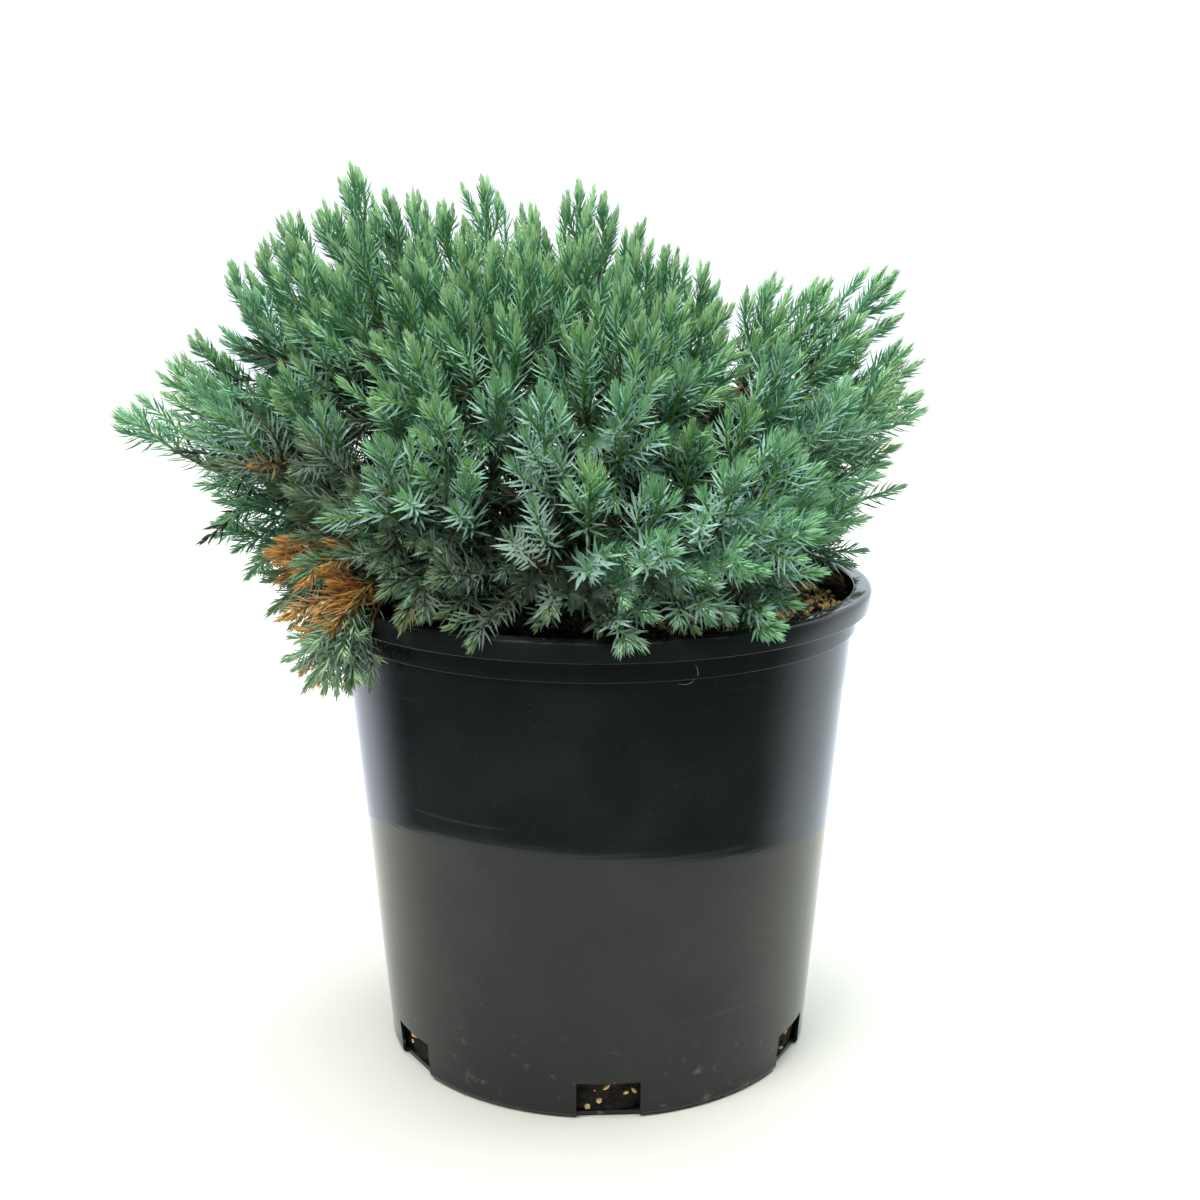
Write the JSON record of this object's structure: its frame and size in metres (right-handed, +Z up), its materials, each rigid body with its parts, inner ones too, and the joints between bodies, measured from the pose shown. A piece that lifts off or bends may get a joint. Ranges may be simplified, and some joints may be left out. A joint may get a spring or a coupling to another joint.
{
  "type": "potted blue star juniper",
  "caption": "Dense, low, blue-green juniper shrub spreading over the rim of its black nursery container, filled with potting mix.",
  "frame": {"origin": "The middle of the container's flat underside, on the ground.", "axes": "+Z is up. +X is to the right and +Y away from the viewer, as the plant is seen from the front (looking along +Y). The crown reaches further to -X than to +X."},
  "size_m": [0.4111, 0.303, 0.4526],
  "materials": {
    "plastic": "satin",
    "mix": "matte",
    "bark": "matte",
    "needles": "matte"
  },
  "bodies": {
    "root": {"pot": "plastic", "soil": "mix", "stem": "bark", "bough_top_left": "bark", "foliage_top_left": "needles", "bough_top": "bark", "foliage_top": "needles", "bough_top_right": "bark", "foliage_top_right": "needles", "bough_right_upper": "bark", "foliage_right_upper": "needles", "bough_right": "bark", "foliage_right": "needles", "bough_left_upper": "bark", "foliage_left_upper": "needles", "bough_left": "bark", "foliage_left": "needles", "bough_left_lower": "bark", "foliage_left_lower": "needles", "bough_front_left_hanging": "bark", "foliage_front_left_hanging": "needles", "bough_front_lower": "bark", "foliage_front_lower": "needles", "bough_front_right_lower": "bark", "foliage_front_right_lower": "needles", "bough_front_left": "bark", "foliage_front_left": "needles", "bough_front": "bark", "foliage_front": "needles", "bough_front_right": "bark", "foliage_front_right": "needles", "bough_front_left_upper": "bark", "foliage_front_left_upper": "needles", "bough_front_upper": "bark", "foliage_front_upper": "needles", "bough_back_left_upper": "bark", "foliage_back_left_upper": "needles", "bough_back_upper": "bark", "foliage_back_upper": "needles", "bough_back_left": "bark", "foliage_back_left": "needles", "bough_back": "bark", "foliage_back": "needles", "bough_back_right": "bark", "foliage_back_right": "needles"}
  },
  "joints": []
}
